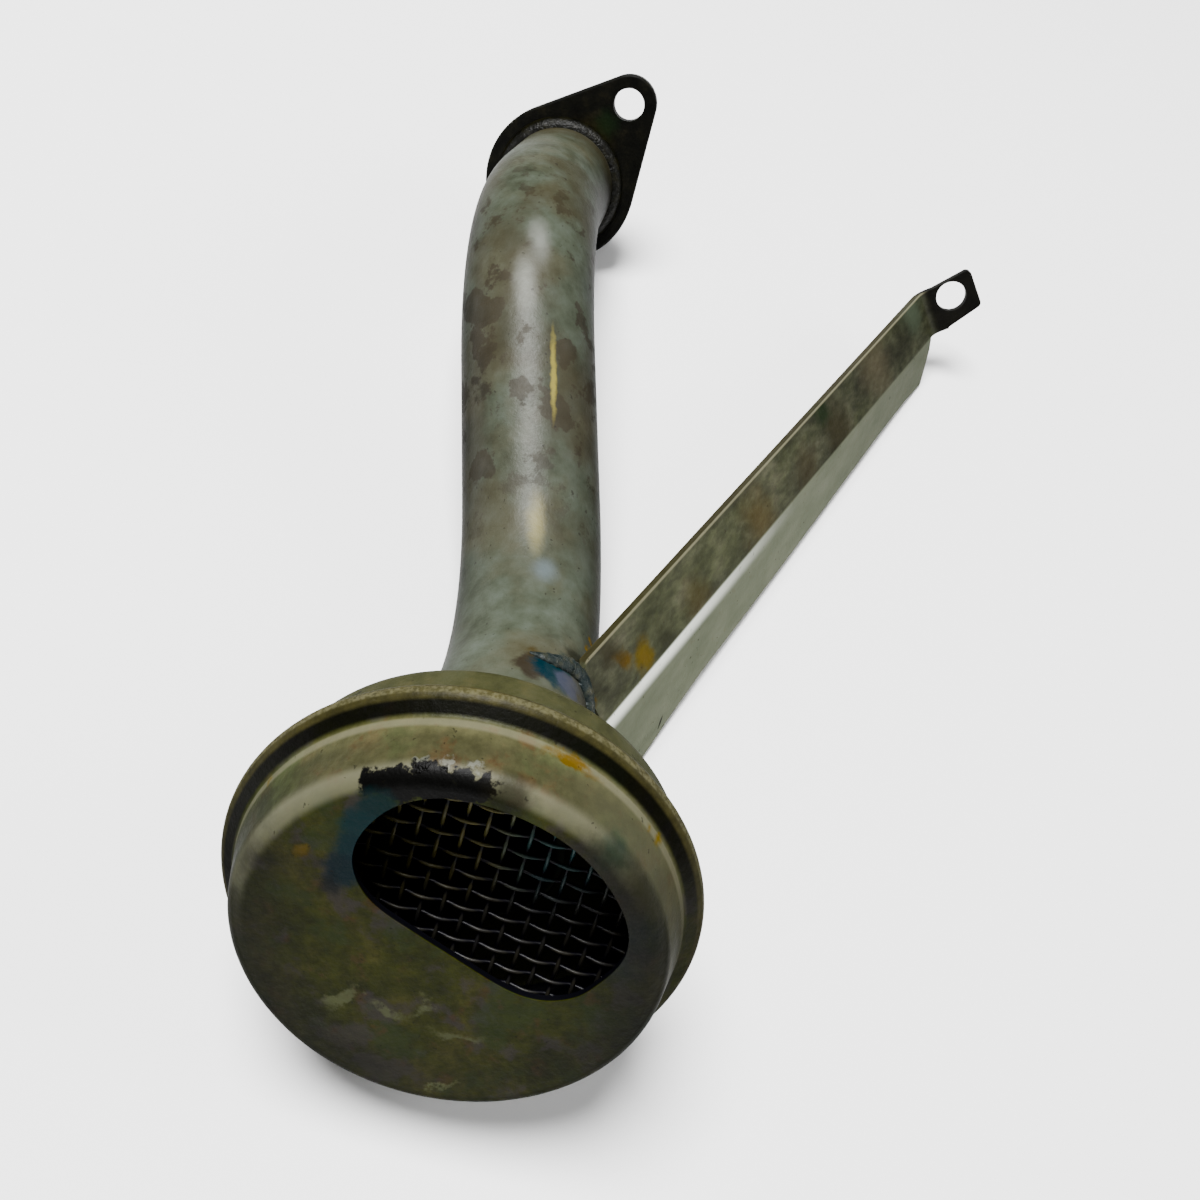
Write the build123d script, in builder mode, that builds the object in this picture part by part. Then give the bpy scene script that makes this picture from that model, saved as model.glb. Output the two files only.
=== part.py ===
from build123d import *
import os
from math import cos, sin, tan, radians, sqrt, hypot

# Oil pump pick-up tube with its strainer, lying on its side as it comes to rest.
# Millimetres, +Z up, origin at the middle of the bounding box's base.
#
# The geometry is laid out in the strainer's own frame: its Z runs along the strainer's
# axis from the inlet face towards the tube and the flange, its X towards the flange,
# and its zero is at the middle of the rolled rim.

# ---------------------------------------------------------------- resting pose
rest_up = (0.84324, 0.36610, -0.39360)      # the table's normal, in the strainer's frame
rest_fwd = (0.32588, 0.23416, 0.91595)    # across the table, roughly towards the flange
rest_origin = (-2.76100, -88.51900, 34.25600)            # where the strainer's zero lies above the table

# ---------------------------------------------------------------- strainer
sheet = 1.0             # drawn steel sheet of housing and cover
face_z = -10.4          # outer surface of the inlet face
shoulder_r = 3.0        # outer shoulder radius of cover and housing
cover_wall_r = 27.7     # cover wall at its shoulder, outside
rim_r = 31.5            # largest radius, the rolled rim
rim_bend_z = 0.45       # height of the rim's bend
rim_bend_r = 1.5        # outside radius of the rim's bend
top_z = 11.6            # outer surface of the housing's flat top
top_wall_r = 28.4       # housing wall at its shoulder, outside

# inlet outline: first number outward from the axis, second along the chord
inlet_outline = [(0.42, 0.0), (0.42, -3.0), (0.45, -6.0), (0.55, -9.0), (1.25, -12.0), (2.9, -14.7),
                 (5.4, -16.7), (8.4, -17.6), (11.5, -17.6), (14.3, -17.0), (17.1, -15.5),
                 (19.6, -13.2), (21.4, -10.2), (22.7, -6.8), (23.5, -3.2), (23.75, 0.2),
                 (23.4, 3.8), (22.4, 7.4), (20.8, 10.9), (18.4, 14.2), (15.4, 16.3), (12.2, 17.0),
                 (9.0, 16.9), (6.0, 16.4), (3.6, 15.0), (1.8, 12.9), (0.75, 10.0), (0.42, 6.6), (0.42, 3.2)]

# ---------------------------------------------------------------- screen
wire_d = 0.55
wire_pitch = 2.78
screen_r = 28.5
screen_z = -0.62
wire_azimuths = (22.4, 112.7)

# ---------------------------------------------------------------- tube
tube_d = 25.4
tube_wall = 1.5
tube_start = (0.95, 0.0, 9.4)
bend_low = (0.95, 0.0, 69.3)
bend_high = (62.0, 0.0, 121.7)
bend_low_r = 52.0
bend_high_r = 61.0
flange_x = 62.0
spigot = 8.0            # how far the tube stands proud of the flange
sized_r = 12.5          # radius of the tube's end that enters the pump

# ---------------------------------------------------------------- flange
flange_z = 175.4        # side that faces the strainer
flange_t = 4.0
flange_r = 17.5
ear = (15.35, 18.2)     # bolt hole, from the tube's axis
ear_r = 6.3
bolt_hole_d = 7.0       # clearance for an M6 bolt

# ---------------------------------------------------------------- bracket
strip_t = 2.0
strip_w = 10.6
fold = (22.47, 84.81, 177.4)   # inner line of the fold between web and tab, its middle
bracket_az = 73.8              # upright plane that the strip runs in
web_pitch = 60.7               # the web's slope above the flange's plane
web_len = 153.0
tab_len = 3.6                  # flat of the tab that belongs to the fold
tab_corners = [(32.2, 94.4), (23.4, 97.3)]     # its free end, a little askew
tab_hole = (26.1, 90.2)
fold_r = 3.0                   # inside bend radius at the tab
wing_turn = 25.0               # how far the wing turns back from the web
bend_r = 5.0                   # outside radius of that bend
wing_edge = [(2.2, 3.2), (4.4, 8.2), (5.9, 11.0), (16.0, 10.4), (31.0, 10.8), (56.0, 12.4), (78.5, 13.9), (99.0, 15.0),
             (119.0, 15.7), (132.0, 17.2), (141.0, 18.6), (149.0, 16.0), (151.5, 9.0)]

# ---------------------------------------------------------------- filler metal
flange_fillet = 2.2
housing_fillet = 2.6
weld_r = 2.6

os.makedirs("parts", exist_ok=True)

up = Vector(*rest_up).normalized()
fwd = (Vector(*rest_fwd) - up * Vector(*rest_fwd).dot(up)).normalized()
side = fwd.cross(up)
# the strainer's axes as seen from the table: rows of the same rotation
strainer = Plane(
    origin=rest_origin,
    x_dir=(side.X, fwd.X, up.X),
    z_dir=(side.Z, fwd.Z, up.Z),
)


def at(*p):
    """A point given in the strainer's frame, laid on the table."""
    return strainer.from_local_coords(Vector(*p))


def toward(*d):
    """A direction given in the strainer's frame, laid on the table."""
    return at(*d) - at(0, 0, 0)


def place(origin, x_dir, z_dir):
    """A plane given in the strainer's frame, laid on the table."""
    return Plane(origin=at(*origin), x_dir=toward(*x_dir), z_dir=toward(*z_dir))


upright = place((0, 0, 0), (1, 0, 0), (0, -1, 0))       # local x is radius, local y is height
strainer_axis = Axis(at(0, 0, 0), toward(0, 0, 1))

# ================================================================ inlet cover
# A drawn cup: flat face, shoulder, slightly conical wall, flared root, and a rim rolled
# over the housing's flange.
r1, z1 = rim_r - rim_bend_r, rim_bend_z
slope = radians(36)
hit = (r1 + rim_bend_r * sin(slope), z1 - rim_bend_r * cos(slope))      # slope line's upper end
wall_k = 0.25                                                           # wall's flare
wall_at = lambda z: 28.75 + wall_k * (z + 3.3)
t = (hit[0] - wall_at(hit[1])) / (cos(slope) - wall_k * sin(slope))
root = (hit[0] - t * cos(slope), hit[1] - t * sin(slope))
corner = (wall_at(face_z), face_z)
with BuildPart() as inlet_cover:
    with BuildSketch(upright):
        with BuildLine():
            # outer skin, from the axis to the rim's end
            l1 = Line((0, face_z), (corner[0] - 8, face_z))
            l2 = FilletPolyline(l1 @ 1, corner, root, hit, radius=(shoulder_r, 1.3))
            l3 = JernArc(l2 @ 1, (cos(slope), sin(slope)), rim_bend_r, 180 - 36)
            l4 = Line(l3 @ 1, (r1 - 0.15, z1 + rim_bend_r))
            # inner skin, back again
            l5 = Line(l4 @ 1, (r1 - 0.15, z1 + rim_bend_r - sheet))
            l6 = Line(l5 @ 1, (r1, z1 + rim_bend_r - sheet))
            in_hit = (hit[0] - sheet * sin(slope), hit[1] + sheet * cos(slope))
            l7 = JernArc(l6 @ 1, (1, 0), rim_bend_r - sheet, -(180 - 36))
            n = hypot(1, wall_k)
            in_wall = lambda z: wall_at(z) - sheet * n
            ti = (in_hit[0] - in_wall(in_hit[1])) / (cos(slope) - wall_k * sin(slope))
            in_root = (in_hit[0] - ti * cos(slope), in_hit[1] - ti * sin(slope))
            in_corner = (in_wall(face_z + sheet), face_z + sheet)
            l8 = FilletPolyline(l7 @ 1, in_root, in_corner, (in_corner[0] - 8, in_corner[1]),
                                radius=(1.3 + sheet, shoulder_r - sheet))
            l9 = Line(l8 @ 1, (0, face_z + sheet))
            l10 = Line(l9 @ 1, (0, face_z))
        make_face()
    revolve(axis=strainer_axis)
    # D-shaped inlet: a straight chord close to the axis and an arc near the wall
    with BuildSketch(place((0, 0, face_z - 2), (sqrt(0.5), sqrt(0.5), 0), (0, 0, 1))):
        with BuildLine():
            Spline(*inlet_outline, periodic=True)
        make_face()
    extrude(amount=4.5, mode=Mode.SUBTRACT)
inlet_cover.part.label = "inlet_cover"

# ================================================================ upper housing
# A drawn shell with a flat top that the tube enters, and a plain flange inside the rolled rim.
flange_low = z1 - 0.5
flange_top = z1 + 0.5
wall_top = (top_wall_r, top_z - shoulder_r)
wall_low_r = 28.85
kw = (wall_low_r - top_wall_r) / (wall_top[1] - flange_top)
out_corner = (top_wall_r - kw * shoulder_r, top_z)
out_root = (wall_low_r, flange_top)
with BuildPart() as upper_housing:
    with BuildSketch(upright):
        with BuildLine():
            p0 = (tube_d / 2 + 0.02, top_z)
            h1 = FilletPolyline(p0, out_corner, out_root, (r1, flange_top), radius=(shoulder_r, 0.8))
            h2 = ThreePointArc(h1 @ 1, (r1 + 0.5, z1), (r1, flange_low))
            in_root2 = (wall_low_r - sheet, flange_low)
            in_corner2 = (out_corner[0] - sheet, top_z - sheet)
            h3 = FilletPolyline(h2 @ 1, in_root2, in_corner2, (tube_d / 2 + 0.02, top_z - sheet),
                                radius=(0.5, shoulder_r - sheet))
            h4 = Line(h3 @ 1, p0)
        make_face()
    revolve(axis=strainer_axis)
    # the tube's hole lies a little off the strainer's axis
    with BuildSketch(place(tube_start, (1, 0, 0), (0, 0, 1))):
        Circle(tube_d / 2)
    extrude(amount=6, both=True, mode=Mode.SUBTRACT)
upper_housing.part.label = "upper_housing"

# ================================================================ wire screen
# Two layers of straight runs at the real pitch, joined where they cross.
with BuildPart() as wire_screen:
    count = int(screen_r / wire_pitch)
    for layer, az in enumerate(wire_azimuths):
        a = radians(az)
        run = (cos(a), sin(a), 0)
        across = (-sin(a), cos(a), 0)
        z = screen_z + (0.25 if layer else -0.25)
        for k in range(-count, count + 1):
            off = (k + 0.35) * wire_pitch
            if abs(off) > screen_r - 1.5:
                continue
            half = sqrt((screen_r - 0.3) ** 2 - off ** 2)
            with BuildSketch(place((across[0] * off, across[1] * off, z), across, run)):
                Circle(wire_d / 2)
            extrude(amount=half, both=True)
wire_screen.part.label = "wire_screen"

# ================================================================ suction tube
tube_end = (flange_x, 0, flange_z + flange_t + spigot)
with BuildPart() as tube_form:
    with BuildLine(upright) as run_line:
        FilletPolyline((tube_start[0], tube_start[2]), (bend_low[0], bend_low[2]),
                       (bend_high[0], bend_high[2]), (flange_x, tube_end[2]),
                       radius=(bend_low_r, bend_high_r))
    with BuildSketch(place(tube_start, (1, 0, 0), (0, 0, 1))):
        Circle(tube_d / 2)
    sweep(path=run_line.wires()[0])
with BuildPart() as tube_bore:
    with BuildSketch(place(tube_start, (1, 0, 0), (0, 0, 1))):
        Circle(tube_d / 2 - tube_wall)
    sweep(path=run_line.wires()[0])
with BuildPart() as suction_tube:
    add(tube_form.part)
    add(tube_bore.part, mode=Mode.SUBTRACT)
    # the end is sized down a little to enter the pump, with a lead-in chamfer
    sized_from = flange_z + flange_t + 0.6
    with BuildSketch(place((flange_x, 0, 0), (1, 0, 0), (0, -1, 0))):
        with BuildLine():
            Polyline((sized_r, sized_from), (sized_r, tube_end[2] - 0.6),
                     (sized_r - 0.6, tube_end[2]), (sized_r - 0.6, tube_end[2] + 1),
                     (tube_d / 2 + 1, tube_end[2] + 1), (tube_d / 2 + 1, sized_from),
                     (sized_r, sized_from))
        make_face()
    revolve(axis=Axis(at(flange_x, 0, 0), toward(0, 0, 1)), mode=Mode.SUBTRACT)
suction_tube.part.label = "suction_tube"

# ================================================================ mounting flange
with BuildPart() as mounting_flange:
    with BuildSketch(place((flange_x, 0, flange_z), (1, 0, 0), (0, 0, 1))):
        with BuildSketch(mode=Mode.PRIVATE) as discs:
            Circle(flange_r)
            with Locations(ear):
                Circle(ear_r)
        make_hull(discs.sketch.edges())
        with Locations(ear):
            Circle(bolt_hole_d / 2, mode=Mode.SUBTRACT)
    extrude(amount=flange_t)
    outer = mounting_flange.part.faces().sort_by_distance(at(flange_x, 0, flange_z))
    flats = mounting_flange.part.faces().filter_by(GeomType.PLANE).sort_by(SortBy.AREA)[-2:]
    fillet([f.outer_wire().edges() for f in flats][0] + [f.outer_wire().edges() for f in flats][1], 0.5)
    with BuildSketch(place((flange_x, 0, flange_z - 5), (1, 0, 0), (0, 0, 1))):
        Circle(tube_d / 2)
    extrude(amount=flange_t + 10, mode=Mode.SUBTRACT)
mounting_flange.part.label = "mounting_flange"

# ================================================================ support bracket
# One strip: a flat web, a tab folded out at its head, and a long wing turned back along one side.
az = radians(bracket_az)
pitch = radians(web_pitch)
out = Vector(cos(az), sin(az), 0)
wide = Vector(sin(az), -cos(az), 0)
along = out * cos(pitch) + Vector(0, 0, 1) * sin(pitch)
front = out * sin(pitch) - Vector(0, 0, 1) * cos(pitch)     # the web's outward face
strip_plane = place(fold, out, wide)
turn = radians(wing_turn)
wing_dir = wide * -cos(turn) - front * sin(turn)
wing_out = front * cos(turn) - wide * sin(turn)
edge_a = Vector(*fold) - wide * (strip_w / 2)       # where the wing's bend line meets the fold
head = 2.6                                          # length of web that belongs to the tab's piece
with BuildPart() as support_bracket:
    # tab, fold and the head of the web
    with BuildSketch(strip_plane):
        with BuildLine():
            b1 = FilletPolyline((-head * cos(pitch), -head * sin(pitch)), (0, 0), (tab_len, 0),
                                radius=fold_r)
            b2 = Line(b1 @ 1, (tab_len, strip_t))
            kx = strip_t * (1 - cos(pitch)) / sin(pitch)
            b3 = FilletPolyline((tab_len, strip_t), (-kx, strip_t),
                                (-head * cos(pitch) - strip_t * sin(pitch),
                                 -head * sin(pitch) + strip_t * cos(pitch)),
                                radius=fold_r + strip_t)
            b4 = Line(b3 @ 1, b1 @ 0)
        make_face()
    extrude(amount=strip_w / 2, both=True)
    with BuildSketch(place((0, 0, fold[2]), (1, 0, 0), (0, 0, 1))):
        with BuildLine():
            q1 = Vector(*fold) + wide * (strip_w / 2) + out * (tab_len - 1)
            q2 = Vector(*fold) - wide * (strip_w / 2) + out * (tab_len - 1)
            Polyline((q1.X, q1.Y), *tab_corners, (q2.X, q2.Y), (q1.X, q1.Y))
        make_face()
    extrude(amount=strip_t)
    for c in tab_corners:
        tip_edge = Axis(at(c[0], c[1], fold[2]), toward(0, 0, 1))
        fillet(support_bracket.part.edges().filter_by(tip_edge).sort_by_distance(at(*c, fold[2] + 1))[0], 1.2)
    # web and wing as one bent section, run down to the tube
    start = Vector(*fold) - along * (head - 0.6)
    section_plane = place(start, wide, along * -1)
    s = 1 if section_plane.y_dir.dot(toward(*front)) > 0 else -1
    half_w, reach = strip_w / 2, 22.0
    tip = (-half_w - reach * cos(turn), -s * reach * sin(turn))
    tip_in = (tip[0] + strip_t * sin(turn), tip[1] - s * strip_t * cos(turn))
    with BuildSketch(section_plane):
        with BuildLine():
            s1 = FilletPolyline((half_w, 0), (-half_w, 0), tip, radius=bend_r)
            s2 = Line(tip, tip_in)
            s3 = FilletPolyline(tip_in, (-half_w + strip_t * tan(turn / 2), -s * strip_t),
                                (half_w, -s * strip_t), radius=bend_r - strip_t)
            s4 = Line((half_w, -s * strip_t), (half_w, 0))
        make_face()
    extrude(amount=web_len - head + 0.6)
    # the wing's free edge
    wing_plane = place(edge_a, along * -1, wing_out)
    s = 1 if wing_plane.y_dir.dot(toward(*wing_dir)) > 0 else -1
    with BuildSketch(wing_plane):
        with BuildLine():
            Polyline((-5, s * bend_r * tan(turn / 2)), (wing_edge[0][0], s * bend_r * tan(turn / 2)),
                     *[(p, s * q) for p, q in wing_edge],
                     (web_len + 5, s * wing_edge[-1][1]), (web_len + 5, s * 40), (-5, s * 40),
                     (-5, s * bend_r * tan(turn / 2)))
        make_face()
    extrude(amount=12, both=True, mode=Mode.SUBTRACT)
    # rounded corner of the web's lower end
    low = at(*(Vector(*fold) - along * web_len + wide * half_w))
    fillet(support_bracket.part.edges().filter_by(Axis(low, toward(*front)), tolerance=2).sort_by_distance(low)[0], 4.0)
    # bolt hole in the tab
    with BuildSketch(place((tab_hole[0], tab_hole[1], fold[2] - 3), (1, 0, 0), (0, 0, 1))):
        Circle(bolt_hole_d / 2)
    extrude(amount=strip_t + 6, mode=Mode.SUBTRACT)
    # the web's lower end is coped to the tube
    add(tube_form.part, mode=Mode.SUBTRACT)
support_bracket.part.label = "support_bracket"

# ================================================================ filler metal
with BuildPart() as flange_braze:
    with BuildSketch(place((flange_x, 0, 0), (1, 0, 0), (0, -1, 0))):
        with BuildLine():
            f = flange_fillet
            g1 = Line((tube_d / 2, flange_z), (tube_d / 2, flange_z - f))
            g2 = SagittaArc((tube_d / 2, flange_z - f), (tube_d / 2 + f, flange_z), -0.25 * f)
            g3 = Line((tube_d / 2 + f, flange_z), (tube_d / 2, flange_z))
        make_face()
    revolve(axis=Axis(at(flange_x, 0, 0), toward(0, 0, 1)))
flange_braze.part.label = "flange_braze"

with BuildPart() as housing_braze:
    with BuildSketch(place((tube_start[0], 0, 0), (1, 0, 0), (0, -1, 0))):
        with BuildLine():
            f = housing_fillet
            Line((tube_d / 2, top_z), (tube_d / 2 + f, top_z))
            SagittaArc((tube_d / 2 + f, top_z), (tube_d / 2, top_z + f), -0.25 * f)
            Line((tube_d / 2, top_z + f), (tube_d / 2, top_z))
        make_face()
    revolve(axis=Axis(at(tube_start[0], 0, 0), strainer_axis.direction))
housing_braze.part.label = "housing_braze"

with BuildPart() as bracket_weld:
    a_end, b_end = Vector(7.2, 11.6, 44.6), Vector(-2.0, 12.2, 41.4)
    step = b_end - a_end
    with BuildSketch(place((a_end.X, a_end.Y, a_end.Z), (0, 0, 1), (step.X, step.Y, step.Z))):
        Circle(weld_r)
    extrude(amount=step.length)
    fillet(bracket_weld.part.edges().filter_by(GeomType.CIRCLE), weld_r * 0.8)
    add(tube_form.part, mode=Mode.SUBTRACT)
    add(support_bracket.part, mode=Mode.SUBTRACT)
bracket_weld.part.label = "bracket_weld"

for piece in (inlet_cover, upper_housing, wire_screen, suction_tube, mounting_flange,
              support_bracket, flange_braze, housing_braze, bracket_weld):
    box = piece.part.bounding_box()
    print(piece.part.label, len(piece.part.solids()), round(piece.part.volume, 1),
          [round(v, 2) for v in (*box.min, *box.max)])

export_step(inlet_cover.part, "parts/inlet_cover.step")
export_step(upper_housing.part, "parts/upper_housing.step")
export_step(wire_screen.part, "parts/wire_screen.step")
export_step(suction_tube.part, "parts/suction_tube.step")
export_step(mounting_flange.part, "parts/mounting_flange.step")
export_step(support_bracket.part, "parts/support_bracket.step")
export_step(flange_braze.part, "parts/flange_braze.step")
export_step(housing_braze.part, "parts/housing_braze.step")
export_step(bracket_weld.part, "parts/bracket_weld.step")
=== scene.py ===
import math
import random
import bmesh
import bpy
from mathutils import Matrix, Vector


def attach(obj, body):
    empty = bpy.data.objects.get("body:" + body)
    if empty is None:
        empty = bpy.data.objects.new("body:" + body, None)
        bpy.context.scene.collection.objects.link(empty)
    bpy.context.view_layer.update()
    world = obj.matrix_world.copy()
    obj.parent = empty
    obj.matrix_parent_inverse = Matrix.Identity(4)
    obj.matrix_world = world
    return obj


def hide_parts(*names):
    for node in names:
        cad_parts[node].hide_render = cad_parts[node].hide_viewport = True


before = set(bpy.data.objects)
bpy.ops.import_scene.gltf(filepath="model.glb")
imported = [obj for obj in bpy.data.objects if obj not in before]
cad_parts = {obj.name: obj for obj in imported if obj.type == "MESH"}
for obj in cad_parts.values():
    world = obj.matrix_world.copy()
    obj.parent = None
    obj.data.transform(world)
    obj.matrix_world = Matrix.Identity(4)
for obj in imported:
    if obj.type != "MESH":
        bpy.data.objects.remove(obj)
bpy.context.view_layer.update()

# ------------------------------------------------------------------ the strainer's frame
# The patterns are laid out in the strainer's own frame, in millimetres: Z along its axis from
# the inlet face towards the flange, X and Y across it.
UP = Vector((0.84324, 0.36610, -0.39360)).normalized()
FWD = Vector((0.32588, 0.23416, 0.91595))
FWD = (FWD - UP * FWD.dot(UP)).normalized()
SIDE = FWD.cross(UP)
ORG = Vector((-2.761, -88.519, 34.256))


def wdir(v):
    v = Vector(v)
    return Vector((SIDE.dot(v), FWD.dot(v), UP.dot(v)))


def wpos(p):
    return (wdir(p) + ORG) / 1000.0


# ------------------------------------------------------------------ camera
cam_data = bpy.data.cameras.new("camera")
cam = bpy.data.objects.new("camera", cam_data)
bpy.context.scene.collection.objects.link(cam)
cam_data.sensor_fit = 'HORIZONTAL'
cam_data.sensor_width = 36.0
cam_data.lens = 36.0
cam_data.clip_start = 0.01
cam_data.clip_end = 50.0
c_right = wdir((-0.1216, 0.9883, 0.0918)).normalized()
c_fwd = wdir((-0.4507, -0.1374, 0.8820)).normalized()
c_right = (c_right - c_fwd * c_right.dot(c_fwd)).normalized()
c_up = c_right.cross(c_fwd)
eye = wpos((101.53, 41.75, -117.36))
rot = Matrix((c_right, c_up, -c_fwd)).transposed()
cam.matrix_world = Matrix.Translation(eye) @ rot.to_4x4()
bpy.context.scene.camera = cam


# ------------------------------------------------------------------ shader helpers
def lin(c):
    out = []
    for v in c:
        v = v / 255.0
        out.append(v / 12.92 if v <= 0.04045 else ((v + 0.055) / 1.055) ** 2.4)
    return (*out, 1.0)


SATURATION, GAIN = 1.4, 0.36


class Mat:
    def __init__(self, name):
        self.m = bpy.data.materials.new(name)
        self.m.use_nodes = True
        self.nt = self.m.node_tree
        self.bsdf = next(n for n in self.nt.nodes if n.type == 'BSDF_PRINCIPLED')
        tc = self.nt.nodes.new('ShaderNodeTexCoord')
        mm = self.vm('SCALE', tc.outputs['Object'], scale=1000.0)
        rel = self.vm('SUBTRACT', mm, tuple(ORG))
        cols = [(SIDE[i], FWD[i], UP[i]) for i in range(3)]
        parts = [self.vm('DOT_PRODUCT', rel, c, out='Value') for c in cols]
        cmb = self.nt.nodes.new('ShaderNodeCombineXYZ')
        for k, p in enumerate(parts):
            self.nt.links.new(p, cmb.inputs[k])
        self.x, self.y, self.z = parts
        self.p = cmb.outputs[0]
        flat = self.nt.nodes.new('ShaderNodeCombineXYZ')
        self.nt.links.new(self.x, flat.inputs[0])
        self.nt.links.new(self.y, flat.inputs[1])
        self.r = self.vm('LENGTH', flat.outputs[0], out='Value')

    def put(self, sock, v):
        if isinstance(v, bpy.types.NodeSocket):
            self.nt.links.new(v, sock)
        else:
            sock.default_value = v

    def vm(self, op, a, b=None, scale=None, out='Vector'):
        n = self.nt.nodes.new('ShaderNodeVectorMath')
        n.operation = op
        self.put(n.inputs[0], a)
        if b is not None:
            self.put(n.inputs[1], b)
        if scale is not None:
            n.inputs['Scale'].default_value = scale
        return n.outputs[out]

    def f(self, op, a, b=None, c=None, clamp=False):
        n = self.nt.nodes.new('ShaderNodeMath')
        n.operation = op
        n.use_clamp = clamp
        self.put(n.inputs[0], a)
        if b is not None:
            self.put(n.inputs[1], b)
        if c is not None:
            self.put(n.inputs[2], c)
        return n.outputs[0]

    def step(self, v, lo, hi, a=0.0, b=1.0):
        """smooth step from a at lo to b at hi"""
        n = self.nt.nodes.new('ShaderNodeMapRange')
        n.interpolation_type = 'SMOOTHSTEP'
        self.put(n.inputs['Value'], v)
        n.inputs['From Min'].default_value = lo
        n.inputs['From Max'].default_value = hi
        n.inputs['To Min'].default_value = a
        n.inputs['To Max'].default_value = b
        return n.outputs['Result']

    def noise(self, scale, detail=4.0, rough=0.55, dist=0.0, vec=None, seed=0.0, out=0):
        n = self.nt.nodes.new('ShaderNodeTexNoise')
        v = vec if vec is not None else self.p
        if seed:
            v = self.vm('ADD', v, (seed * 17.3, seed * -9.1, seed * 5.7))
        self.put(n.inputs['Vector'], v)
        n.inputs['Scale'].default_value = scale
        n.inputs['Detail'].default_value = detail
        n.inputs['Roughness'].default_value = rough
        n.inputs['Distortion'].default_value = dist
        return n.outputs[out]

    def wobble(self, amount, scale, seed=0.0):
        """the position, pushed about by noise, for ragged outlines"""
        col = self.noise(scale, 4.0, 0.6, seed=seed, out=1)
        c = self.vm('SUBTRACT', col, (0.5, 0.5, 0.5))
        c = self.vm('SCALE', c, scale=amount * 2.0)
        return self.vm('ADD', self.p, c)

    def spot(self, centre, radius, soft, vec=None, squash=None):
        v = vec if vec is not None else self.p
        d = self.vm('SUBTRACT', v, tuple(centre))
        if squash:
            axis, k = squash            # stretch the spot along an axis
            a = Vector(axis).normalized()
            t = self.vm('DOT_PRODUCT', d, tuple(a), out='Value')
            cmb = self.nt.nodes.new('ShaderNodeVectorMath')
            cmb.operation = 'SCALE'
            cmb.inputs[0].default_value = tuple(a * (1.0 - 1.0 / k))
            self.nt.links.new(t, cmb.inputs['Scale'])
            d = self.vm('SUBTRACT', d, cmb.outputs[0])
        length = self.vm('LENGTH', d, out='Value')
        return self.step(length, radius + soft, max(radius - soft, 0.0))

    def both(self, *m):
        out = m[0]
        for k in m[1:]:
            out = self.f('MULTIPLY', out, k)
        return out

    def any(self, *m):
        out = m[0]
        for k in m[1:]:
            out = self.f('MAXIMUM', out, k)
        return out

    def mix(self, fac, a, b, blend='MIX'):
        n = self.nt.nodes.new('ShaderNodeMix')
        n.data_type = 'RGBA'
        n.blend_type = blend
        n.clamp_factor = True
        self.put(n.inputs[0], fac)
        self.put(n.inputs[6], a if isinstance(a, bpy.types.NodeSocket) else lin(a))
        self.put(n.inputs[7], b if isinstance(b, bpy.types.NodeSocket) else lin(b))
        return n.outputs[2]

    def ramp(self, fac, stops):
        n = self.nt.nodes.new('ShaderNodeValToRGB')
        r = n.color_ramp
        while len(r.elements) < len(stops):
            r.elements.new(0.5)
        for e, (pos, col) in zip(r.elements, stops):
            e.position = pos
            e.color = lin(col)
        self.put(n.inputs[0], fac)
        return n.outputs[0]

    def times(self, col, fac):
        """scale a colour's brightness by a number socket"""
        return self.vm('MULTIPLY', col, self.grey(fac))

    def grey(self, fac):
        c = self.nt.nodes.new('ShaderNodeCombineXYZ')
        for k in range(3):
            self.put(c.inputs[k], fac)
        return c.outputs[0]

    def painted_shade(self, color, least=0.45):
        """painted shade: darker on the sides and underneath, lighter on what faces up towards the key light, broken
        by noise
        """
        g = self.nt.nodes.new('ShaderNodeNewGeometry')
        d = self.vm('DOT_PRODUCT', g.outputs['Normal'], tuple(wdir((0.91, 0.146, -0.36)).normalized()), out='Value')
        n = self.f('MULTIPLY', self.f('SUBTRACT', self.noise(0.12, 3, 0.5, seed=91), 0.5), 0.5)
        return self.times(color, self.step(self.f('ADD', d, n), -0.15, 0.95, least, 1.0))

    def finish(self, color, rough, metallic, height=None, bump=0.0001, strength=1.0, spec=0.25):
        b = self.bsdf.inputs
        hs = self.nt.nodes.new('ShaderNodeHueSaturation')
        hs.inputs['Saturation'].default_value = SATURATION
        hs.inputs['Value'].default_value = GAIN
        self.put(hs.inputs['Color'], color)
        self.put(b['Base Color'], hs.outputs[0])
        self.put(b['Roughness'], rough)
        self.put(b['Metallic'], metallic)
        lw = self.nt.nodes.new('ShaderNodeLayerWeight')
        lw.inputs['Blend'].default_value = 0.5
        gloss = self.step(lw.outputs['Facing'], 0.12, 0.60, spec, spec * 0.04)
        self.put(b['Specular IOR Level'], gloss)
        if height is not None:
            n = self.nt.nodes.new('ShaderNodeBump')
            n.inputs['Strength'].default_value = strength
            n.inputs['Distance'].default_value = bump
            self.nt.links.new(height, n.inputs['Height'])
            self.nt.links.new(n.outputs[0], b['Normal'])
        return self.m


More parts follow.
